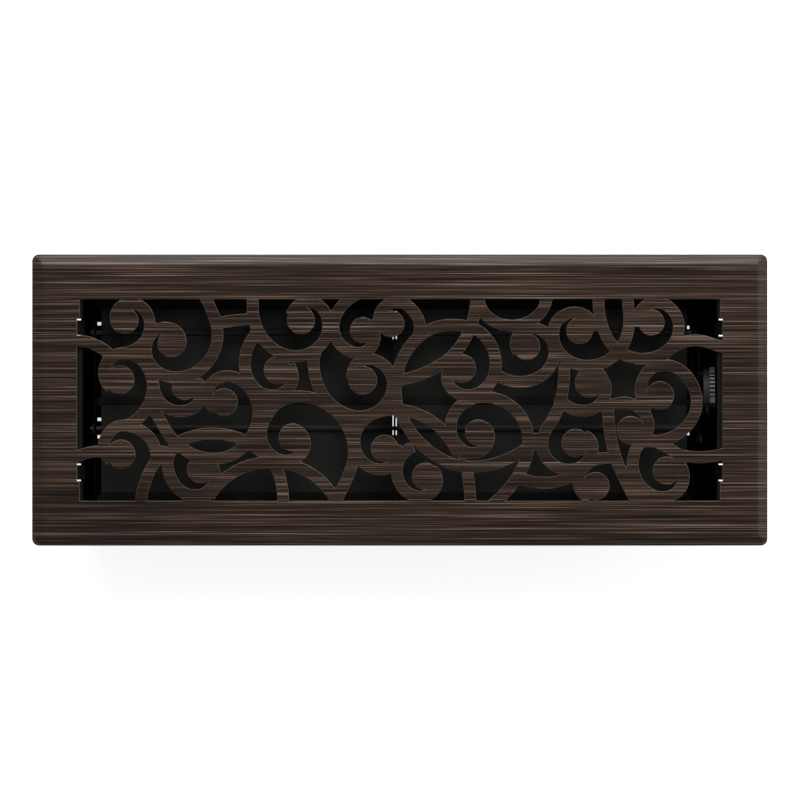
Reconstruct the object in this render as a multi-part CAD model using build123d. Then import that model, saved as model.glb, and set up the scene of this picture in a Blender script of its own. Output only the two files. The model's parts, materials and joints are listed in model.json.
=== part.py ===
"""Floor register: a pierced scrollwork faceplate over a two-blade damper box.

Units are millimetres. The floor plane is z = 0 with +Z up, +X runs along the
plate to the thumb lever and +Y is the rear long side. The damper is closed.
"""
import cmath
import math
import os

from build123d import *

# Faceplate
PLATE_LENGTH = 344.5
PLATE_WIDTH = 136.5
PLATE_SHEET = 1.2
PLATE_RISE = 4.0
PLATE_CORNER_RADIUS = 3.2
BEVEL_RUN = 4.6
BEVEL_SKIRT = 0.9
BEVEL_TOP_RADIUS = 1.0
RIM_ROLL = 2.5
END_RIM = 21.05
SIDE_RIM = 20.95
WINDOW_STEP = 1.2
WINDOW_STEP_WIDTH = 8.9
TAB_WIDTH = 6.9
TAB_PITCH = 67.8
TAB_LEAN = 3.7
TAB_DROP = 10.0

# Scrollwork: straps of one width, drawn on a field that is fitted to the window
STRAP_WIDTH = 5.4
FIELD_LENGTH = 302.4
FIELD_WIDTH = 94.6
EVEN_BEND = 0.2
FLAT_BULGE = 0.1

# Damper box
BOX_SHEET = 0.8
BOX_END_INSET = 2.5
BOX_SIDE_OUTSET = 0.65
BOX_DEPTH = 53.8
FLANGE_REACH = 8.5
TAB_SLOT_SIDE_GAP = 0.65
TAB_SLOT_GAP = 0.6
LEFT_RETURN_LAP = 2.6
RIGHT_RETURN_LAP = 1.8
LEFT_LIGHT_OFFSET = 1.3
LEFT_LIGHT_YS = (35.9, -9.1, -17.3)
RIGHT_LIGHT_OFFSET = 0.6
RIGHT_LIGHT_YS = (34.2, -15.8)
LIGHT_HOLE_LENGTH = 1.9
LIGHT_HOLE_WIDTH = 1.5

# Blades and their rods
LEFT_CHAMBER = 8.6
RIGHT_CHAMBER = 13.9
BLADE_SHEET = 0.7
BLADE_SHORT_SIDE = 11.0
BLADE_LIP_RUN = 4.3
BLADE_LIP_DROP = 1.5
BLADE_LAP = 0.3
BLADE_FRONT_GAP = 0.35
BLADE_REAR_GAP = 5.25
EAR_REACH = 1.9
EAR_NOTCH = 1.0
ROD_DIAMETER = 2.0
ROD_RUNNING_GAP = 0.05
ROD_END = 1.2

# End brackets, centre strap and rear seal strip
BRACKET_SHEET = 0.8
BRACKET_SIDE_GAP = 1.95
BRACKET_FLANGE_RISE = 5.5
WEB_RISE = 5.0
FOOT_GAP = 6.4
EAR_GAP = 0.4
STRAP_PLATE_X = -2.4
STRAP_PLATE_SHEET = 1.0
STRAP_PLATE_RISE = 11.0
STRAP_BLADE_GAP = 1.1
STRAP_LOBE_RADIUS = 2.6
STRAP_SLOT_GAP = 0.5
STRAP_FOOT = 10.0
SEAL_STRIP_LAP = 1.15
SEAL_STRIP_GAP = 0.4
SEAL_STRIP_DROP = 10.0

# Thumb lever
LEVER_PIVOT_Y = -0.7
LEVER_RADIUS = 18.0
LEVER_GAP = 0.4
LEVER_HUB_RADIUS = 4.0
LEVER_WEB = 1.4
ARM_THICKNESS = 2.6
RIM_DEPTH = 3.4
RIM_FROM = 26.0
RIM_TO = 92.0
WEB_TO = 110.0
RIM_WALL_GAP = 0.3
TREAD_WIDTH = 2.4
BODY_STEP = 0.9
RIDGE_COUNT = 7
RIDGE_HEIGHT = 0.7
RIDGES_FROM = 39.0
RIDGES_TO = 83.0
LUG_RADIUS = 15.5
LUG_DEPTH = 3.0
LUG_SPAN = 8.0
LUG_REACH = 2.3
PIVOT_PIN_DIAMETER = 3.0
PIVOT_PIN_HEAD = 6.0
PIN_RUNNING_GAP = 0.05

# Cranks and link bar
CRANK_RADIUS = 9.0
CRANK_ANGLE = -125.0
CRANK_SHEET = 1.0
CRANK_GAP = 0.4
CRANK_WIDTH = 5.2
CRANK_PIN_DIAMETER = 2.4
LINK_SHEET = 1.2
LINK_WIDTH = 5.2
LINK_GAP = 0.4
LINK_OPEN_GAP = 0.3
PIN_HEAD_DIAMETER = 4.2
PIN_HEAD_HEIGHT = 0.8
PUSH_NUT_SHEET = 0.5
PUSH_NUT_RIM = 1.4
NUT_GAP = 0.2
PIN_END = 0.4
WASHER_DIAMETER = 7.5
WASHER_SHEET = 0.6
WASHER_GAP = 0.1

# Sizes that follow from the ones above
PLATE_UNDERSIDE = PLATE_RISE - PLATE_SHEET
WINDOW_LENGTH = PLATE_LENGTH - 2 * END_RIM
WINDOW_WIDTH = PLATE_WIDTH - 2 * SIDE_RIM
FIELD_SCALE_X = WINDOW_LENGTH / FIELD_LENGTH
FIELD_SCALE_Y = WINDOW_WIDTH / FIELD_WIDTH
TAB_TIP_X = WINDOW_LENGTH / 2 - TAB_LEAN
TAB_TIP_Z = PLATE_RISE - TAB_DROP
TAB_YS = (-TAB_PITCH / 2, TAB_PITCH / 2)
BOX_INNER_X = WINDOW_LENGTH / 2 - BOX_END_INSET
BOX_INNER_Y = WINDOW_WIDTH / 2 + BOX_SIDE_OUTSET
BOX_OUTER_X = BOX_INNER_X + BOX_SHEET
BOX_OUTER_Y = BOX_INNER_Y + BOX_SHEET
BOX_BOTTOM = PLATE_UNDERSIDE - BOX_DEPTH
FLANGE_UNDERSIDE = PLATE_UNDERSIDE - BOX_SHEET
PIVOT_Z = PLATE_RISE - LEVER_RADIUS
BLADE_LEFT = LEFT_CHAMBER - BOX_INNER_X
BLADE_RIGHT = BOX_INNER_X - RIGHT_CHAMBER
BLADE_LENGTH = BLADE_RIGHT - BLADE_LEFT
BLADE_PITCH = BOX_INNER_Y - (BLADE_FRONT_GAP + BLADE_REAR_GAP + BLADE_LAP) / 2
LIP_END = BLADE_PITCH + BLADE_LAP - BLADE_SHORT_SIDE
BLADE_BEND = LIP_END - BLADE_LIP_RUN
FRONT_PIVOT_Y = BLADE_FRONT_GAP + LIP_END - BOX_INNER_Y
REAR_PIVOT_Y = FRONT_PIVOT_Y + BLADE_PITCH
PIVOT_YS = (REAR_PIVOT_Y, FRONT_PIVOT_Y)
LEFT_RETURN_X = BLADE_LEFT + LEFT_RETURN_LAP
RIGHT_RETURN_X = BLADE_RIGHT - RIGHT_RETURN_LAP
LEFT_WEB_X = BLADE_LEFT - EAR_REACH - EAR_GAP
RIGHT_WEB_X = BLADE_RIGHT + EAR_REACH + EAR_GAP
ROD_LEFT = LEFT_WEB_X - BRACKET_SHEET - NUT_GAP - PUSH_NUT_SHEET - ROD_END
CRANK_X = RIGHT_WEB_X + BRACKET_SHEET + CRANK_GAP
LINK_X = CRANK_X + CRANK_SHEET + LINK_GAP
CRANK_PIN_HEAD_X = LINK_X + LINK_SHEET + NUT_GAP
LEVER_INNER_X = CRANK_PIN_HEAD_X + PIN_HEAD_HEIGHT + LEVER_GAP
FLANGE_FACE_X = BOX_INNER_X - BRACKET_SHEET
LEVER_OUTER_X = FLANGE_FACE_X - WASHER_SHEET - WASHER_GAP
RIM_OUTER_X = FLANGE_FACE_X - RIM_WALL_GAP
TREAD_X = RIM_OUTER_X - TREAD_WIDTH
RIM_INNER_RADIUS = LEVER_RADIUS - RIM_DEPTH
BRACKET_HALF_WIDTH = BOX_INNER_Y - BRACKET_SIDE_GAP
BRACKET_FLANGE_TOP = PIVOT_Z + BRACKET_FLANGE_RISE
WEB_TOP = PIVOT_Z + WEB_RISE
FOOT_Z = PIVOT_Z - CRANK_RADIUS - CRANK_WIDTH / 2 - FOOT_GAP
STRAP_PLATE_TOP = PIVOT_Z + STRAP_PLATE_RISE
SEAL_STRIP_EDGE_Y = REAR_PIVOT_Y + BLADE_SHORT_SIDE - SEAL_STRIP_LAP
CRANK_ARM = (
    CRANK_RADIUS * math.cos(math.radians(CRANK_ANGLE)),
    CRANK_RADIUS * math.sin(math.radians(CRANK_ANGLE)),
)

# Scroll straps: each runs smoothly through its points, from one end to the other
SCROLL_STRAPS = (
    ((-130.8, 33.9), (-133, 37.3), (-127.6, 45.2), (-122.2, 44.4), (-117.2, 37), (-119, 28),
     (-127.5, 22.3), (-132.5, 21.3), (-138.5, 14.3), (-135.5, 6)),
    ((-154, 27.2), (-147.5, 27.4), (-142.5, 25.8), (-135.8, 21.2)),
    ((-103.4, 24), (-104.3, 31.7), (-113, 33.2), (-118.9, 24), (-113, 12.9), (-106.2, 10.6),
     (-99, 11.4), (-92.5, 15), (-87.8, 20.8), (-85.6, 34), (-87.8, 41), (-92, 49.5)),
    ((-131, 21.9), (-121.3, 19), (-117.6, 14.3), (-116.2, 2), (-118.7, -4), (-127.5, -11.7),
     (-132.5, -12.6), (-136.3, -15.6), (-138.3, -24.5), (-135.5, -28)),
    ((-129, -12.2), (-119.8, -15.3), (-114.1, -25), (-118.3, -36), (-120.4, -42), (-121.1, -50)),
    ((-155, -28.7), (-149.8, -25.9), (-144.5, -24.4), (-138, -24.2)),
    ((-117.3, 14), (-115.5, 8), (-114.8, 3.8), (-102.5, -5.3), (-94.4, -0.8), (-97, 7.5)),
    ((-87, -3.6), (-89.8, -0.5), (-88.4, 7.5), (-80, 11.2), (-71, 6.2), (-66.2, -5), (-69, -16),
     (-78.5, -25.7), (-92, -27), (-104.3, -20.8), (-111.7, -10.5), (-117, 0)),
    ((-88.5, -30.5), (-87.3, -39.6), (-97, -44.6), (-103, -42.3), (-107, -37), (-108, -25.5),
     (-101, -18.5), (-95.5, -16.6), (-85, -15.8), (-75.5, -17.9), (-65.5, -24), (-60, -27.3)),
    ((-47, -15), (-45, -23.5), (-53, -28.4), (-62.8, -23.2), (-64.6, -12.5), (-62, -7),
     (-57.5, -1.7), (-45, 1.6), (-32.5, -3.2), (-24.2, -13), (-21.5, -24), (-22.4, -30.6),
     (-27, -41.5), (-30.5, -49)),
    ((-89.5, -45.5), (-85.6, -40.2), (-77, -33.4), (-66.5, -29.7), (-60, -29.2), (-46, -32.1),
     (-37, -37.9), (-33.3, -42), (-28.5, -49)),
    ((-60, -27.5), (-57.6, -32), (-55, -42), (-54.6, -50)),
    ((-51.8, 16), (-50.6, 8), (-57.5, 2.3), (-66.8, 4.4), (-70.3, 8.3), (-72.6, 18), (-69.5, 28),
     (-66, 32.5)),
    ((-69, 50), (-68.9, 43.5), (-68.2, 37.2), (-61.8, 26.2), (-49.7, 20.5), (-39.3, 23.6),
     (-33.8, 37), (-38.6, 44.8), (-48, 44), (-50.5, 40)),
    ((-85.3, 36), (-77, 37.3), (-72, 37.7), (-69.2, 38.3)),
    ((-38.3, 24.6), (-40.4, 18), (-40, 13), (-37, 4), (-29, -4.5), (-19, -7.8), (-9, -4.4),
     (-3.6, 4.5), (-5.5, 14.3), (-9.7, 17.8), (-19, 17.8), (-22.2, 10.5)),
    ((-19, 50), (-24, 47), (-29.7, 40), (-30.7, 31), (-24.9, 23.6), (-20.3, 22), (-12.7, 25.8),
     (-12.8, 33.5)),
    ((-9.9, 36.5), (-5.5, 44.7), (2.8, 44.8), (5.9, 42.1), (9.4, 35), (8.5, 30)),
    ((-1, -3), (-1.8, 3), (-0.5, 14.5), (5.8, 26.5), (16, 33.8), (27, 35.1), (37.5, 31.9),
     (44.8, 18), (42.5, 8.2), (38.5, 4.2), (27.6, 3.1), (22.1, 9.8), (26, 17)),
    ((-1.5, 9), (8, 11.3), (19.5, 16.9), (24.8, 20.9), (31.4, 30.2), (35.2, 42), (35.7, 50)),
    ((36.8, 50), (40.8, 39.2), (49.5, 35.1), (59.5, 36.2), (67, 42.5), (69, 50)),
    ((55.6, 22.3), (56.3, 31.5), (65.5, 32.9), (72, 25.7), (70.9, 16.5), (67.5, 12.2), (57.5, 8.5),
     (45.5, 11.7)),
    ((89.5, 36.5), (86.5, 39.8), (76.8, 39.5), (73.3, 36.5), (72, 32), (74, 23.2), (82, 17),
     (87.3, 16), (97, 18.3), (104.5, 25.7), (107.4, 36), (107.2, 42), (106.2, 50)),
    ((93.2, 50), (93.2, 43), (95.8, 32), (103, 22.3), (108.5, 20), (120.5, 20.4), (129.6, 28.6),
     (130.3, 37), (126.4, 43.3), (117.3, 45.2), (111.6, 38.5)),
    ((155, 23.8), (149.5, 25.2), (144.5, 27), (134, 27.5), (125.5, 22.9), (121, 19.5)),
    ((118, -3), (114.5, -1), (113.3, 8), (118.8, 15.2), (128.5, 15.5), (136.6, 8), (139, -2),
     (135, -11.7), (126, -18), (115, -19.4), (109.5, -19)),
    ((94, -2.8), (100.5, -1.9), (105.5, -1.1), (113, -4.7), (115.7, -8.3), (114.8, -16.5),
     (111, -18.3)),
    ((155, -24.3), (149.5, -25.8), (138, -26.8), (132.5, -26), (122.5, -20.7), (117, -18.5)),
    ((116, -18.8), (112, -21), (109.8, -25.2), (110, -35), (117, -43.9), (128.5, -44.1),
     (133.1, -35.2), (128, -27.8)),
    ((97.3, 0), (97.6, -7), (99.1, -19.5), (102.8, -31.5), (105.8, -38), (111.3, -49)),
    ((91.5, 13.5), (95, 10), (95.5, 0.3), (84, -4.9), (76, -1)),
    ((77, 17), (76.6, 7), (74, -4.5), (71.2, -9.8), (68.4, -14), (67, -23.5), (73, -31),
     (84, -31.6), (90.1, -24.3), (89.8, -19.8), (86.5, -16.7)),
    ((39.5, -12.5), (41.7, -16.5), (37.5, -24.2), (28.2, -22.6), (23.9, -13.7), (27, -4),
     (41.5, 1.3), (52, -2.7), (58.8, -11.7), (60.2, -22), (56.8, -33), (49.2, -43.6), (43.3, -49)),
    ((56, -36.6), (63, -38.4), (73, -38.4), (82.5, -34.5), (87, -31)),
    ((101, -26.5), (96, -27.3), (91, -28), (86.8, -31), (83.7, -39.5), (89, -46)),
    ((-0.5, -4), (3.8, -13), (15.5, -25.2), (26, -30.3), (38, -31.1), (50.5, -27.6), (60.5, -21.8)),
    ((-12, -6.3), (0, -4.6), (9.5, -7.1), (18.2, -12.5), (25, -20.7), (28, -25.8)),
    ((0, -4.6), (-6, -4.6), (-16, -8.6), (-21, -17), (-19.6, -26), (-7, -32.3), (-3, -30.3),
     (-2, -22)),
    ((15.3, -32.6), (16, -42.2), (7.5, -45), (-0.2, -38.7), (-0.8, -29.5), (6.3, -21.8)),
    ((31.3, -29), (32, -36), (32.8, -43), (33.2, -50)),
    ((-101.5, -47.8), (-95, -47.3), (-89, -47.8)),
    ((4, -47.8), (9, -47.3), (14.3, -47.8)),
    ((109.8, -44.5), (114, -46.8), (120, -47.8), (127.5, -47.8)),
)

# Round scroll eyes: centre x, centre y and radius
SCROLL_EYES = (
    (-128.5, 37.2, 6.1), (-107, 26.4, 6.4), (-46.3, 37.3, 6.5), (-17.3, 32.7, 6), (-4.1, 35.6, 6.2),
    (59.4, 25, 6.3), (84.2, 32.4, 6.2), (117.9, 36.3, 6.1), (-131.1, 9.5, 6.7), (-100.8, 6, 6),
    (-82.3, -1, 6.4), (-57.2, 13.9, 6.5), (-17.4, 9.2, 6.7), (-50.2, -17.5, 6.5),
    (-7.1, -22.7, 6.4), (28.9, 14.8, 6.7), (36.7, -15.2, 6.1), (88.9, 8.1, 6.9), (82.4, -20.1, 6.6),
    (121.8, 2.1, 6.6), (108.2, -14.2, 6.6), (-130.6, -25.3, 6.7), (-93.2, -32.5, 6.5),
    (12, -35.7, 6.3), (91.7, -40.3, 6.5), (125, -33.1, 6.5),
)

# Webs that fill the corners where straps run side by side
SCROLL_WEBS = (
    (63.5, -19.4, 3.9), (-94, 7.5, 2.6), (-111, -26, 4.5), (-63.2, -1.5, 3), (-22, -10.7, 1.6),
    (-67.7, -19.2, 1.6), (-32.2, 40, 2), (91, 35, 2.8), (111, 36.5, 2.3), (107, -33.6, 2.6),
    (29.3, -27.4, 1.8), (-11.6, 36, 2.2),
)


# Scrollwork geometry, with points and directions held as complex numbers
def headings(points):
    """Unit direction at each point, from the circle through it and its neighbours."""
    inner = []
    for before, here, after in zip(points, points[1:], points[2:]):
        arriving = here - before
        leaving = after - here
        blend = arriving / abs(arriving) ** 2 + leaving / abs(leaving) ** 2
        inner.append(blend / abs(blend))
    first_chord = points[1] - points[0]
    last_chord = points[-1] - points[-2]
    first = first_chord / first_chord.conjugate() * inner[0].conjugate()
    last = last_chord / last_chord.conjugate() * inner[-1].conjugate()
    return [first, *inner, last]


def tangent_arcs(points):
    """Two tangent arcs for each gap between points, each as (start, direction, end)."""
    directions = headings(points)
    gaps = []
    for start, end, leave, arrive in zip(points, points[1:], directions, directions[1:]):
        gap = end - start
        along = (gap * (leave + arrive).conjugate()).real
        turn = 2 - 2 * (leave * arrive.conjugate()).real
        if turn < 1e-9:
            reach = abs(gap) ** 2 / (2 * along)
        else:
            reach = (math.sqrt(along**2 + turn * abs(gap) ** 2) - along) / turn
        middle = (start + end + reach * (leave - arrive)) / 2
        heading = end - reach * arrive - start - reach * leave
        gaps.append(((start, leave, middle), (middle, heading / abs(heading), end)))
    return gaps


def half_turn(start, direction, end):
    """Half the angle that an arc turns through."""
    return cmath.phase((end - start) / direction)


def beside(point, direction, side):
    """Place at the given distance to the left of a point on the line."""
    place = point + 1j * side * direction
    return (place.real, place.imag)


def arc_middle(start, direction, end):
    """Point halfway along an arc."""
    return (start + end) / 2 - 0.5j * (end - start) * math.tan(half_turn(start, direction, end) / 2)


def side_edge(start, through, end):
    """Arc through three places, or a line where the bulge is too small to see."""
    chord = complex(end[0] - start[0], end[1] - start[1])
    rise = complex(through[0] - start[0], through[1] - start[1])
    bulge = abs((rise * chord.conjugate()).imag) / abs(chord)
    return Line(start, end) if bulge < FLAT_BULGE else ThreePointArc(start, through, end)


def strap_side(gaps, side):
    """Edges beside a strap's line: one arc where a gap bends evenly, else two."""
    edges = []
    for first, second in gaps:
        bends = (half_turn(*first), half_turn(*second))
        stations = []
        for arc, bend in zip((first, second), bends):
            swing = cmath.rect(1, bend)
            stations.append(beside(arc[0], arc[1], side))
            stations.append(beside(arc_middle(*arc), arc[1] * swing, side))
        stations.append(beside(second[2], second[1] * swing**2, side))
        if abs(bends[0] - bends[1]) < EVEN_BEND:
            edges.append(side_edge(stations[0], stations[2], stations[4]))
        else:
            edges.append(side_edge(*stations[:3]))
            edges.append(side_edge(*stations[2:]))
    return edges


def strap_face(points, width):
    """Flat strap of one width along a smooth line through the points."""
    gaps = tangent_arcs([complex(x * FIELD_SCALE_X, y * FIELD_SCALE_Y) for x, y in points])
    left_side = strap_side(gaps, width / 2)
    right_side = strap_side(gaps, -width / 2)
    start_cap = Line(right_side[0] @ 0, left_side[0] @ 0)
    end_cap = Line(left_side[-1] @ 1, right_side[-1] @ 1)
    return Face(Wire([*left_side, end_cap, *right_side, start_cap]))


def scroll_openings():
    """The window less every strap, eye and web, as flat faces at z = 0."""
    window = Rectangle(WINDOW_LENGTH, WINDOW_WIDTH - 2 * WINDOW_STEP_WIDTH)
    window += Rectangle(WINDOW_LENGTH - 2 * WINDOW_STEP, WINDOW_WIDTH)
    metal = [strap_face(points, STRAP_WIDTH) for points in SCROLL_STRAPS]
    for x, y, radius in SCROLL_EYES + SCROLL_WEBS:
        metal.append(Pos(x * FIELD_SCALE_X, y * FIELD_SCALE_Y) * Circle(radius))
    return window - metal


# Small shared shapes
def x_plane(x):
    """Plane across the object at x, with its own axes along +Y and +Z."""
    return Plane((x, 0, 0), x_dir=(0, 1, 0), z_dir=(1, 0, 0))


def block(x_from, x_to, y_from, y_to, z_from, z_to):
    """Box between two opposite corners."""
    box = Box(abs(x_to - x_from), abs(y_to - y_from), abs(z_to - z_from))
    return Pos((x_from + x_to) / 2, (y_from + y_to) / 2, (z_from + z_to) / 2) * box


def x_disc(x_from, x_to, y, z, diameter):
    """Round bar along X."""
    return extrude(x_plane(x_from) * Pos(y, z) * Circle(diameter / 2), x_to - x_from)


def x_ring(x_from, x_to, y, z, outer, inner):
    """Flat ring across X."""
    face = Circle(outer / 2) - Circle(inner / 2)
    return extrude(x_plane(x_from) * Pos(y, z) * face, x_to - x_from)


def push_nut(right, y, z, pin):
    """Square push nut on a pin along X, with its right face at the given X."""
    across = pin + 2 * PUSH_NUT_RIM
    face = Rectangle(across, across) - Circle(pin / 2)
    return extrude(x_plane(right - PUSH_NUT_SHEET) * Pos(y, z) * face, PUSH_NUT_SHEET)


# Fixed housing
def pan(inset, skirt, bevel_inset, rise):
    """Solid tray shape with a short skirt and a sloping bevel."""
    length = PLATE_LENGTH - 2 * inset
    width = PLATE_WIDTH - 2 * inset
    foot = RectangleRounded(length, width, PLATE_CORNER_RADIUS - inset)
    top = RectangleRounded(
        PLATE_LENGTH - 2 * bevel_inset, PLATE_WIDTH - 2 * bevel_inset, BEVEL_TOP_RADIUS
    )
    bevel = loft([Pos(0, 0, skirt) * foot, Pos(0, 0, rise) * top])
    return extrude(foot, skirt) + bevel


def plate_tab(side, y):
    """Tab bent down from the window end and sloping in through the box."""
    edge = WINDOW_LENGTH / 2
    profile = make_face(
        Polyline(
            (edge, PLATE_RISE),
            (TAB_TIP_X, TAB_TIP_Z),
            (TAB_TIP_X + PLATE_SHEET, TAB_TIP_Z),
            (edge + PLATE_SHEET, PLATE_UNDERSIDE),
            (edge + PLATE_SHEET, PLATE_RISE),
            close=True,
        )
    )
    tab = Pos(0, y + TAB_WIDTH / 2, 0) * extrude(Plane.XZ * profile, TAB_WIDTH)
    return tab if side > 0 else mirror(tab, Plane.YZ)


def faceplate():
    """Pressed plate with a rolled bevel, the scrollwork and four bent tabs."""
    slope = math.atan2(PLATE_RISE - BEVEL_SKIRT, BEVEL_RUN)
    hollow_skirt = BEVEL_SKIRT - PLATE_SHEET * math.tan((math.pi / 2 - slope) / 2)
    hollow_inset = BEVEL_RUN + PLATE_SHEET * math.tan(slope / 2)
    plate = pan(0, BEVEL_SKIRT, BEVEL_RUN, PLATE_RISE)
    plate = fillet(plate.faces().sort_by(Axis.Z)[-1].edges(), RIM_ROLL)
    plate -= pan(PLATE_SHEET, hollow_skirt, hollow_inset, PLATE_UNDERSIDE)
    plate -= extrude(scroll_openings(), PLATE_RISE + 1)
    for side in (-1, 1):
        for y in TAB_YS:
            plate += plate_tab(side, y)
    return plate


def damper_box():
    box = block(-BOX_OUTER_X, BOX_OUTER_X, -BOX_OUTER_Y, BOX_OUTER_Y, BOX_BOTTOM, PLATE_UNDERSIDE)
    flange_x = BOX_OUTER_X + FLANGE_REACH
    flange_y = BOX_OUTER_Y + FLANGE_REACH
    box += block(-flange_x, flange_x, -flange_y, flange_y, FLANGE_UNDERSIDE, PLATE_UNDERSIDE)
    floor = BOX_BOTTOM + BOX_SHEET
    top = PLATE_UNDERSIDE + 1
    box -= block(-BOX_INNER_X, BOX_INNER_X, -BOX_INNER_Y, BOX_INNER_Y, floor, top)
    # The ends turn in at the bottom and the rest of the bottom is open
    box -= block(LEFT_RETURN_X, RIGHT_RETURN_X, -BOX_INNER_Y, BOX_INNER_Y, BOX_BOTTOM - 1, floor)
    for y in LEFT_LIGHT_YS:
        box -= light_hole(BLADE_LEFT - LEFT_LIGHT_OFFSET, y)
    for y in RIGHT_LIGHT_YS:
        box -= light_hole(BLADE_RIGHT + RIGHT_LIGHT_OFFSET, y)
    slot_x = WINDOW_LENGTH / 2 + PLATE_SHEET + TAB_SLOT_GAP
    half_slot = TAB_WIDTH / 2 + TAB_SLOT_SIDE_GAP
    slot_bottom = TAB_TIP_Z - TAB_SLOT_GAP
    for side in (-1, 1):
        for y in TAB_YS:
            wall = side * (BOX_INNER_X - 1)
            box -= block(wall, side * slot_x, y - half_slot, y + half_slot, slot_bottom, top)
    return box - lever_pin_hole()


def light_hole(x, y):
    """Cutter for a small slot in the turned-in bottom of the box."""
    half_length = LIGHT_HOLE_LENGTH / 2
    half_width = LIGHT_HOLE_WIDTH / 2
    return block(
        x - half_length, x + half_length, y - half_width, y + half_width,
        BOX_BOTTOM - 1, BOX_BOTTOM + BOX_SHEET + 1,
    )


def end_bracket(web_x, side):
    """Channel across the box end: web with rod holes, foot, and flange on the end wall."""
    half = BRACKET_HALF_WIDTH
    wall = side * BOX_INNER_X
    inner = wall - side * BRACKET_SHEET
    outer_web = web_x + side * BRACKET_SHEET
    bracket = block(web_x, outer_web, -half, half, FOOT_Z, WEB_TOP)
    bracket += block(web_x, wall, -half, half, FOOT_Z, FOOT_Z + BRACKET_SHEET)
    bracket += block(inner, wall, -half, half, FOOT_Z, BRACKET_FLANGE_TOP)
    for y in PIVOT_YS:
        bracket -= x_disc(web_x - 2, web_x + 2, y, PIVOT_Z, ROD_DIAMETER + 2 * ROD_RUNNING_GAP)
    return bracket - lever_pin_hole()


def centre_strap():
    """Upright plate across the box that carries both rods at mid length."""
    lower = PIVOT_Z + BLADE_SHEET / 2 + STRAP_BLADE_GAP
    face = Pos(0, (lower + STRAP_PLATE_TOP) / 2) * Rectangle(2 * BOX_INNER_Y, STRAP_PLATE_TOP - lower)
    for y in PIVOT_YS:
        neck = Rectangle(2 * STRAP_LOBE_RADIUS, lower - PIVOT_Z + 1)
        face += Pos(y, (lower + 1 + PIVOT_Z) / 2) * neck
        face += Pos(y, PIVOT_Z) * Circle(STRAP_LOBE_RADIUS)
    for y in PIVOT_YS:
        face -= Pos(y, PIVOT_Z) * Circle(ROD_DIAMETER / 2 + ROD_RUNNING_GAP)
    strap = extrude(x_plane(STRAP_PLATE_X - STRAP_PLATE_SHEET / 2) * face, STRAP_PLATE_SHEET)
    for side in (-1, 1):
        strap += block(
            STRAP_PLATE_X, STRAP_PLATE_X + STRAP_FOOT, side * (BOX_INNER_Y - STRAP_PLATE_SHEET),
            side * BOX_INNER_Y, lower, STRAP_PLATE_TOP,
        )
    return strap


def rear_seal_strip():
    """Angle on the rear wall that closes the gap behind the rear blade."""
    top = PIVOT_Z - BLADE_SHEET / 2 - SEAL_STRIP_GAP
    left = LEFT_WEB_X + SEAL_STRIP_GAP
    right = RIGHT_WEB_X - SEAL_STRIP_GAP
    strip = block(left, right, SEAL_STRIP_EDGE_Y, BOX_INNER_Y, top - BOX_SHEET, top)
    strip += block(left, right, BOX_INNER_Y - BOX_SHEET, BOX_INNER_Y, top - SEAL_STRIP_DROP, top)
    return strip


# Blades and their rods
def blade(pivot_y):
    """Folded sheet blade with a bead rolled round its rod and a lip with end ears."""
    half = BLADE_SHEET / 2
    fall = BLADE_LIP_DROP * EAR_NOTCH / BLADE_LIP_RUN
    sheet = Polyline(
        (BLADE_SHORT_SIDE, half), (-BLADE_BEND, half), (-LIP_END, half - BLADE_LIP_DROP),
        (-LIP_END, -half - BLADE_LIP_DROP), (-BLADE_BEND, -half), (BLADE_SHORT_SIDE, -half),
        close=True,
    )
    ear = Polyline(
        (-BLADE_BEND - EAR_NOTCH, half - fall), (-LIP_END, half - BLADE_LIP_DROP),
        (-LIP_END, -half - BLADE_LIP_DROP), (-BLADE_BEND - EAR_NOTCH, -half - fall),
        close=True,
    )
    section = make_face(sheet) + Circle(ROD_DIAMETER / 2 + BLADE_SHEET)
    section -= Circle(ROD_DIAMETER / 2)
    at_pivot = Pos(pivot_y, PIVOT_Z)
    body = extrude(x_plane(BLADE_LEFT) * at_pivot * section, BLADE_LENGTH)
    ears = x_plane(BLADE_LEFT - EAR_REACH) * at_pivot * make_face(ear)
    body += extrude(ears, BLADE_LENGTH + 2 * EAR_REACH)
    half_slot = STRAP_PLATE_SHEET / 2 + STRAP_SLOT_GAP
    return body - block(
        STRAP_PLATE_X - half_slot, STRAP_PLATE_X + half_slot,
        pivot_y - STRAP_LOBE_RADIUS - STRAP_SLOT_GAP, pivot_y + BLADE_SHORT_SIDE + 1,
        PIVOT_Z - 3, PIVOT_Z + 3,
    )


def rod(pivot_y):
    return x_disc(ROD_LEFT, CRANK_X + CRANK_SHEET, pivot_y, PIVOT_Z, ROD_DIAMETER)


def rod_nut(pivot_y):
    """Push nut on the rod outside the left web."""
    return push_nut(LEFT_WEB_X - BRACKET_SHEET - NUT_GAP, pivot_y, PIVOT_Z, ROD_DIAMETER)


def crank(pivot_y):
    """Flat arm from the rod to its link pin."""
    arm = SlotCenterToCenter(CRANK_RADIUS, CRANK_WIDTH)
    arm -= Pos(-CRANK_RADIUS / 2, 0) * Circle(ROD_DIAMETER / 2)
    arm -= Pos(CRANK_RADIUS / 2, 0) * Circle(CRANK_PIN_DIAMETER / 2)
    place = Pos(pivot_y, PIVOT_Z) * Rot(0, 0, CRANK_ANGLE) * Pos(CRANK_RADIUS / 2, 0)
    return extrude(x_plane(CRANK_X) * place * arm, CRANK_SHEET)


def crank_pin(pivot_y):
    """Headed pin from a crank through the link bar."""
    y = pivot_y + CRANK_ARM[0]
    z = PIVOT_Z + CRANK_ARM[1]
    head = CRANK_PIN_HEAD_X
    pin = x_disc(CRANK_X, head, y, z, CRANK_PIN_DIAMETER)
    return pin + x_disc(head, head + PIN_HEAD_HEIGHT, y, z, PIN_HEAD_DIAMETER)


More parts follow.
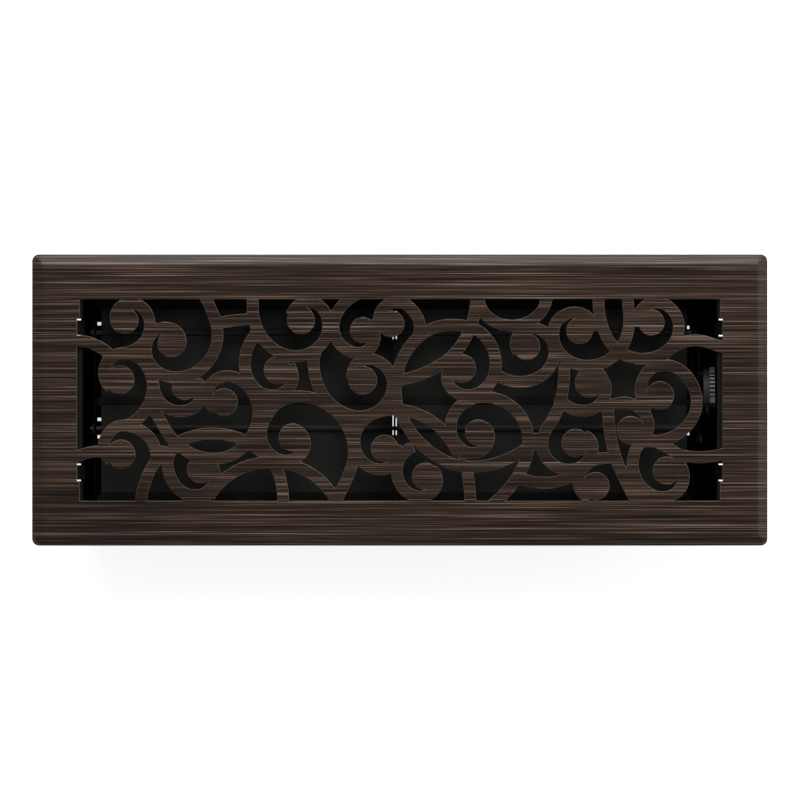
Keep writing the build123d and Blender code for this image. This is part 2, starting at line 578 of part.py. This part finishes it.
# Thumb lever and link
def ring_sector(inner, outer, angle_from, angle_to):
    """Flat ring sector about the origin, angles in degrees from +Y."""
    arc = CenterArc((0, 0), outer, angle_from, angle_to - angle_from)
    back = CenterArc((0, 0), inner, angle_from, angle_to - angle_from)
    return make_face([arc, Line(arc @ 1, back @ 1), back, Line(back @ 0, arc @ 0)])


def lever_slab(x_from, x_to, face):
    """Lever profile drawn about its pivot, made solid between two X positions."""
    return extrude(x_plane(x_from) * Pos(LEVER_PIVOT_Y, PIVOT_Z) * face, x_to - x_from)


def thumb_lever():
    hub = Circle(LEVER_HUB_RADIUS)
    arm = Rot(0, 0, CRANK_ANGLE) * Pos(CRANK_RADIUS / 2, 0) * SlotCenterToCenter(CRANK_RADIUS, CRANK_WIDTH)
    web = ring_sector(LEVER_HUB_RADIUS / 2, RIM_INNER_RADIUS + 1, RIM_FROM, WEB_TO)
    body = ring_sector(RIM_INNER_RADIUS, LEVER_RADIUS - BODY_STEP, RIM_FROM, RIM_TO)
    tread = ring_sector(RIM_INNER_RADIUS, LEVER_RADIUS, RIM_FROM, RIM_TO)
    lug = ring_sector(LUG_RADIUS - LUG_DEPTH, LUG_RADIUS, RIM_FROM, RIM_FROM + LUG_SPAN)
    lever = lever_slab(LEVER_INNER_X, LEVER_OUTER_X, hub)
    lever += lever_slab(LEVER_INNER_X, LEVER_INNER_X + ARM_THICKNESS, arm)
    lever += lever_slab(LEVER_INNER_X + 1, LEVER_INNER_X + 1 + LEVER_WEB, web)
    lever += lever_slab(LEVER_INNER_X, TREAD_X, body)
    lever += lever_slab(TREAD_X, RIM_OUTER_X, tread)
    lever += lever_slab(LEVER_INNER_X - LUG_REACH, LEVER_INNER_X + 1, lug)
    pitch = (RIDGES_TO - RIDGES_FROM) / RIDGE_COUNT
    for number in range(RIDGE_COUNT):
        start = RIDGES_FROM + (number + 0.25) * pitch
        ridge = ring_sector(LEVER_RADIUS - 1, LEVER_RADIUS + RIDGE_HEIGHT, start, start + pitch / 2)
        lever += lever_slab(TREAD_X, RIM_OUTER_X, ridge)
    bore = Circle(PIVOT_PIN_DIAMETER / 2 + PIN_RUNNING_GAP)
    lever -= lever_slab(LEVER_INNER_X - 1, LEVER_OUTER_X + 1, bore)
    crank_bore = Pos(*CRANK_ARM) * Circle(CRANK_PIN_DIAMETER / 2)
    return lever - lever_slab(LEVER_INNER_X - 1, LEVER_INNER_X + ARM_THICKNESS + 1, crank_bore)


def lever_crank_pin():
    y = LEVER_PIVOT_Y + CRANK_ARM[0]
    z = PIVOT_Z + CRANK_ARM[1]
    left = LINK_X - NUT_GAP - PUSH_NUT_SHEET - PIN_END
    return x_disc(left, LEVER_INNER_X + ARM_THICKNESS, y, z, CRANK_PIN_DIAMETER)


def link_nut():
    """Push nut on the lever crank pin that keeps the link bar on it."""
    y = LEVER_PIVOT_Y + CRANK_ARM[0]
    z = PIVOT_Z + CRANK_ARM[1]
    return push_nut(LINK_X - NUT_GAP, y, z, CRANK_PIN_DIAMETER)


def lever_pin_hole():
    """Cutter for the lever pivot pin in the end wall and bracket flange."""
    return x_disc(FLANGE_FACE_X - 1, BOX_OUTER_X + 1, LEVER_PIVOT_Y, PIVOT_Z, PIVOT_PIN_DIAMETER)


def lever_pivot_pin():
    left = LEVER_INNER_X - NUT_GAP - PUSH_NUT_SHEET - PIN_END
    wall = BOX_OUTER_X
    pin = x_disc(left, wall, LEVER_PIVOT_Y, PIVOT_Z, PIVOT_PIN_DIAMETER)
    return pin + x_disc(wall, wall + PIN_HEAD_HEIGHT, LEVER_PIVOT_Y, PIVOT_Z, PIVOT_PIN_HEAD)


def lever_nut():
    """Push nut on the lever pivot pin."""
    return push_nut(LEVER_INNER_X - NUT_GAP, LEVER_PIVOT_Y, PIVOT_Z, PIVOT_PIN_DIAMETER)


def friction_washer():
    """Spring washer between the lever hub and the bracket flange."""
    left = LEVER_OUTER_X + WASHER_GAP
    return x_ring(left, FLANGE_FACE_X, LEVER_PIVOT_Y, PIVOT_Z, WASHER_DIAMETER, PIVOT_PIN_DIAMETER)


def link_bar():
    """Flat bar that ties both cranks to the lever."""
    bar = Pos((REAR_PIVOT_Y + FRONT_PIVOT_Y) / 2, 0) * SlotCenterToCenter(BLADE_PITCH, LINK_WIDTH)
    gaps = (
        (REAR_PIVOT_Y, PIN_RUNNING_GAP),
        (FRONT_PIVOT_Y, LINK_OPEN_GAP),
        (LEVER_PIVOT_Y, LINK_OPEN_GAP),
    )
    for y, gap in gaps:
        bar -= Pos(y, 0) * Circle(CRANK_PIN_DIAMETER / 2 + gap)
    return extrude(x_plane(LINK_X) * Pos(CRANK_ARM[0], PIVOT_Z + CRANK_ARM[1]) * bar, LINK_SHEET)


def export_all():
    nodes = {
        "faceplate": faceplate(),
        "damper_box": damper_box(),
        "left_bracket": end_bracket(LEFT_WEB_X, -1),
        "right_bracket": end_bracket(RIGHT_WEB_X, 1),
        "centre_strap": centre_strap(),
        "rear_seal_strip": rear_seal_strip(),
        "thumb_lever": thumb_lever(),
        "lever_crank_pin": lever_crank_pin(),
        "link_nut": link_nut(),
        "lever_pivot_pin": lever_pivot_pin(),
        "lever_nut": lever_nut(),
        "friction_washer": friction_washer(),
        "link_bar": link_bar(),
    }
    for name, y in (("rear", REAR_PIVOT_Y), ("front", FRONT_PIVOT_Y)):
        nodes[f"{name}_blade"] = blade(y)
        nodes[f"{name}_rod"] = rod(y)
        nodes[f"{name}_rod_nut"] = rod_nut(y)
        nodes[f"{name}_crank"] = crank(y)
        nodes[f"{name}_crank_pin"] = crank_pin(y)
    os.makedirs("parts", exist_ok=True)
    for name, shape in nodes.items():
        export_step(shape, f"parts/{name}.step")


export_all()
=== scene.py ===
"""Looks of the floor register: brushed bronze plate over a black damper box."""
import json
import math
from collections import Counter

import bmesh
import bpy
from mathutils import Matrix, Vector

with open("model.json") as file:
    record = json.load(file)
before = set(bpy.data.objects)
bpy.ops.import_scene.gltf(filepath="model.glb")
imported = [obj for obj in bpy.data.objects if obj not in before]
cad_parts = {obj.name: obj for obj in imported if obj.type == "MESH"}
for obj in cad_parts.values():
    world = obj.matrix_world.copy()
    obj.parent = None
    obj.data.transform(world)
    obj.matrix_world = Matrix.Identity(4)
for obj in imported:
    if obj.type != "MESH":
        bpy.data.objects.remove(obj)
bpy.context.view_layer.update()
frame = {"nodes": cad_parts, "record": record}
nodes = frame["nodes"]

# The photograph looks straight down on the plate
PICTURE_PIXELS = 800
PLATE_PIXELS = 735.8
PLATE_SPAN = 0.3446
PICTURE_CENTRE_X = 0.0001
CAMERA_HEIGHT = 10.0
SENSOR_WIDTH = 36

# Faceplate
PLATE_TOP = 0.004
# Tabs below the plate, whose bronze is painted black as painted shade
TABS_BELOW = 0.0026
TABS_WITHIN = (0.156, 0.05)
WINDOW_WITHIN = (0.153, 0.049)
CUT_EDGE = 0.00012

# Thumb lever, seen along its pivot, with a painted highlight on its tread tops
LEVER_PIVOT = (-0.0007, -0.014)
LEVER_RADIUS = 0.018
TREAD_X = 0.1451
RIDGES_FROM = 39
RIDGES_TO = 83
RIDGE_TOP = 0.0004
PLAIN_TOP = -0.0001

# Paint and studio
PAINT_TINT = (0.97, 1.07, 0.92)
FLOOR_Z = -0.0512
FLOOR_REACH = 4.0
FLOOR_WHITE = 0.75
HORIZON_GREY = 0.36
ZENITH_GREY = 0.14


def new_material(name):
    """Node material with its tree and its shader."""
    material = bpy.data.materials.new(name)
    material.use_nodes = True
    return material, material.node_tree, material.node_tree.nodes["Principled BSDF"]


def streak_noise(tree, scale, detail, roughness):
    """Noise stretched by a scale along each axis of the object."""
    place = tree.nodes.new("ShaderNodeTexCoord")
    stretch = tree.nodes.new("ShaderNodeMapping")
    stretch.inputs["Scale"].default_value = scale
    noise = tree.nodes.new("ShaderNodeTexNoise")
    noise.inputs["Scale"].default_value = 1.0
    noise.inputs["Detail"].default_value = detail
    noise.inputs["Roughness"].default_value = roughness
    tree.links.new(place.outputs["Object"], stretch.inputs["Vector"])
    tree.links.new(stretch.outputs["Vector"], noise.inputs["Vector"])
    return noise.outputs["Fac"]


def colour_ramp(tree, factor, stops):
    """Colours along a factor, as (position, colour) stops."""
    ramp = tree.nodes.new("ShaderNodeValToRGB")
    elements = ramp.color_ramp.elements
    while len(elements) < len(stops):
        elements.new(0.5)
    for element, (position, colour) in zip(elements, stops):
        element.position = position
        element.color = (*colour, 1.0)
    tree.links.new(factor, ramp.inputs["Fac"])
    return ramp.outputs["Color"]


def mixed(tree, first, second, share):
    """Weighted mean of two factors."""
    mix = tree.nodes.new("ShaderNodeMix")
    mix.inputs["Factor"].default_value = share
    tree.links.new(first, mix.inputs["A"])
    tree.links.new(second, mix.inputs["B"])
    return mix.outputs["Result"]


def brushed_bronze():
    """Dark red-brown bronze with long fine brush streaks along the plate."""
    material, tree, shader = new_material("brushed bronze")
    fine = streak_noise(tree, (11, 2200, 11), 3.0, 0.6)
    broad = streak_noise(tree, (5, 450, 5), 2.0, 0.5)
    streaks = mixed(tree, fine, broad, 0.2)
    colour = colour_ramp(tree, streaks, (
        (0.38, (0.003, 0.002, 0.001)),
        (0.45, (0.012, 0.0065, 0.004)),
        (0.51, (0.029, 0.0165, 0.010)),
        (0.56, (0.062, 0.038, 0.026)),
        (0.62, (0.16, 0.107, 0.079)),
        (0.69, (0.30, 0.217, 0.168)),
    ))
    tree.links.new(colour, shader.inputs["Base Color"])
    shader.inputs["Metallic"].default_value = 0.0
    shader.inputs["Roughness"].default_value = 0.42
    shader.inputs["Specular IOR Level"].default_value = 0.22
    bump = tree.nodes.new("ShaderNodeBump")
    bump.inputs["Strength"].default_value = 0.15
    bump.inputs["Distance"].default_value = 0.0002
    tree.links.new(streaks, bump.inputs["Height"])
    tree.links.new(bump.outputs["Normal"], shader.inputs["Normal"])
    return material


def plain_finish(name, colour, metallic, roughness, specular):
    """Finish that is the same all over."""
    material, tree, shader = new_material(name)
    shader.inputs["Base Color"].default_value = (*colour, 1.0)
    shader.inputs["Metallic"].default_value = metallic
    shader.inputs["Roughness"].default_value = roughness
    shader.inputs["Specular IOR Level"].default_value = specular
    return material


def tinted(depth):
    """Green-grey of the black paint at a depth between black and white."""
    return tuple(depth * share for share in PAINT_TINT)


def black_paint(name, low, high, specular):
    """Black paint with a faint cloudiness between two depths."""
    material, tree, shader = new_material(name)
    cloud = streak_noise(tree, (60, 60, 60), 3.0, 0.5)
    colour = colour_ramp(tree, cloud, ((0.3, tinted(low)), (0.7, tinted(high))))
    tree.links.new(colour, shader.inputs["Base Color"])
    shader.inputs["Roughness"].default_value = 0.6
    shader.inputs["Specular IOR Level"].default_value = specular
    return material


def paint_nodes(slot_finishes, kind_finishes):
    """Give each node the finish of its kind, or else of its material slot."""
    for part in frame["record"]["subparts"]:
        mesh = nodes[part["node"]].data
        mesh.materials.clear()
        kind = part["node"].split("_")[-1]
        mesh.materials.append(kind_finishes.get(kind, slot_finishes[part["material_slot"]]))


def refinish_faces(node, finish, chosen):
    """Give another finish to the faces whose centre is chosen."""
    mesh = nodes[node].data
    mesh.materials.append(finish)
    for face in mesh.polygons:
        if chosen(face.center):
            face.material_index = len(mesh.materials) - 1


def within(place, limits):
    """True closer to the middle of the plate than the limits in x and y."""
    return abs(place.x) < limits[0] and abs(place.y) < limits[1]


def on_tab_in_painted_shade(place):
    """True below the plate and well inside its rim, on the tabs that are painted black as painted shade.
    """
    return place.z < TABS_BELOW and within(place, TABS_WITHIN)


def on_opening(place):
    """True on the top face of the plate, inside its rim."""
    return place.z > PLATE_TOP - 1e-5 and within(place, WINDOW_WITHIN)


def on_tread_highlight(place):
    """True on the ridge tops and the plain ends of the thumb tread, where a highlight is painted."""
    across = place.y - LEVER_PIVOT[0]
    up = place.z - LEVER_PIVOT[1]
    ridged = RIDGES_FROM < math.degrees(math.atan2(up, across)) < RIDGES_TO
    top = LEVER_RADIUS + (RIDGE_TOP if ridged else PLAIN_TOP)
    return place.x > TREAD_X and math.hypot(across, up) > top


def cut_edges_bare_and_highlit():
    """Narrow bare-metal line along the top edges of the openings, made lighter as a painted highlight."""
    plate = nodes["faceplate"]
    mesh = plate.data
    mesh.materials.append(plain_finish("bare cut edge with painted highlight", (0.17, 0.13, 0.105), 0.2, 0.45, 0.35))
    faces_at = Counter(key for face in mesh.polygons for key in face.edge_keys)
    weights = mesh.attributes.new("bevel_weight_edge", "FLOAT", "EDGE").data
    for edge, weight in zip(mesh.edges, weights):
        ends = [mesh.vertices[index].co for index in edge.vertices]
        if faces_at[edge.key] == 1 and all(map(on_opening, ends)):
            weight.value = 1.0
    plate.modifiers.new("joined faces", "WELD").merge_threshold = 1e-6
    bevel = plate.modifiers.new("cut edge", "BEVEL")
    bevel.width = CUT_EDGE
    bevel.segments = 1
    bevel.limit_method = "WEIGHT"
    bevel.use_clamp_overlap = False
    bevel.material = len(mesh.materials) - 1


def white_to_camera(tree, shader):
    """Let a surface glow pale for rays that come from the camera, a sheen or a pane."""
    rays = tree.nodes.new("ShaderNodeLightPath")
    seen = rays.outputs["Is Camera Ray"]
    for kind in ("Is Glossy Ray", "Is Transmission Ray"):
        either = tree.nodes.new("ShaderNodeMath")
        either.operation = "MAXIMUM"
        tree.links.new(seen, either.inputs[0])
        tree.links.new(rays.outputs[kind], either.inputs[1])
        seen = either.outputs["Value"]
    tree.links.new(seen, shader.inputs["Emission Strength"])
    shader.inputs["Emission Color"].default_value = (FLOOR_WHITE, FLOOR_WHITE, FLOOR_WHITE, 1.0)


def pale_floor():
    """Plain pale floor that the camera sees as white and that keeps a shadow."""
    shape = bmesh.new()
    bmesh.ops.create_grid(shape, x_segments=1, y_segments=1, size=FLOOR_REACH)
    bmesh.ops.translate(shape, verts=shape.verts, vec=(0, 0, FLOOR_Z))
    mesh = bpy.data.meshes.new("pale floor")
    shape.to_mesh(mesh)
    shape.free()
    material, tree, shader = new_material("pale floor")
    shader.inputs["Base Color"].default_value = (0.85, 0.85, 0.85, 1.0)
    shader.inputs["Roughness"].default_value = 0.9
    white_to_camera(tree, shader)
    mesh.materials.append(material)
    floor = bpy.data.objects.new("pale floor", mesh)
    bpy.context.scene.collection.objects.link(floor)


def soft_lamp(name, place, width, height, power):
    """Wide area lamp that faces the register."""
    data = bpy.data.lights.new(name, "AREA")
    data.shape = "RECTANGLE"
    data.size = width
    data.size_y = height
    data.energy = power
    lamp = bpy.data.objects.new(name, data)
    lamp.location = place
    lamp.rotation_euler = (-Vector(place)).to_track_quat("-Z", "Y").to_euler()
    bpy.context.scene.collection.objects.link(lamp)


def graded_room():
    """Room light that is palest at the horizon and dim overhead."""
    world = bpy.data.worlds.new("pale room")
    world.use_nodes = True
    tree = world.node_tree
    place = tree.nodes.new("ShaderNodeTexCoord")
    split = tree.nodes.new("ShaderNodeSeparateXYZ")
    tree.links.new(place.outputs["Generated"], split.inputs["Vector"])
    grade = colour_ramp(tree, split.outputs["Z"], ((0.0, (HORIZON_GREY,) * 3), (1.0, (ZENITH_GREY,) * 3)))
    tree.links.new(grade, tree.nodes["Background"].inputs["Color"])
    bpy.context.scene.world = world


def overhead_camera():
    """Camera far above the plate, framed as the photograph is."""
    data = bpy.data.cameras.new("overhead camera")
    data.sensor_width = SENSOR_WIDTH
    data.lens = SENSOR_WIDTH * CAMERA_HEIGHT / (PLATE_SPAN / (PLATE_PIXELS / PICTURE_PIXELS))
    camera = bpy.data.objects.new("overhead camera", data)
    camera.location = (PICTURE_CENTRE_X, 0, CAMERA_HEIGHT + PLATE_TOP)
    bpy.context.scene.collection.objects.link(camera)
    bpy.context.scene.camera = camera


def studio():
    """Floor, soft lamps, room light and camera."""
    pale_floor()
    soft_lamp("rear window", (0.1, 1.5, 0.72), 1.8, 0.9, 35)
    soft_lamp("overhead panel", (0.1, 1.0, 1.7), 0.9, 0.7, 6)
    soft_lamp("front fill", (-0.1, -1.3, 1.3), 0.9, 0.9, 2.5)
    soft_lamp("right window", (1.6, 0.1, 0.75), 1.2, 0.8, 6.5)
    graded_room()
    overhead_camera()
    bpy.context.scene.view_settings.view_transform = "Standard"


flat_black = black_paint("flat black paint", 0.008, 0.011, 0.04)
paint_nodes(
    slot_finishes={
        "bronze": brushed_bronze(),
        "black_paint": flat_black,
        "zinc_steel": plain_finish("dull zinc", (0.05, 0.05, 0.052), 0.5, 0.5, 0.2),
        "lever_plastic": plain_finish("dark lever plastic", (0.008, 0.008, 0.008), 0.0, 0.5, 0.12),
    },
    kind_finishes={
        "blade": black_paint("satin black blades", 0.014, 0.018, 0.2),
        # The brackets are black paint like the box, made a deeper black as painted shade of the end zones
        # under the plate.
        "bracket": black_paint("brackets black with painted shade", 0.003, 0.004, 0.0),
    },
)
# The faceplate's tabs under the plate get the black paint instead of bronze, as painted shade.
refinish_faces("faceplate", flat_black, on_tab_in_painted_shade)
# Ridge tops and plain ends of the thumb tread get a lighter grey as a painted highlight.
refinish_faces("thumb_lever", plain_finish("painted highlight on tread", (0.06, 0.06, 0.058), 0.0, 0.5, 0.2), on_tread_highlight)
# Cut edges of the openings get a narrow bevel in a lighter colour: bare metal and a painted highlight.
cut_edges_bare_and_highlit()
studio()
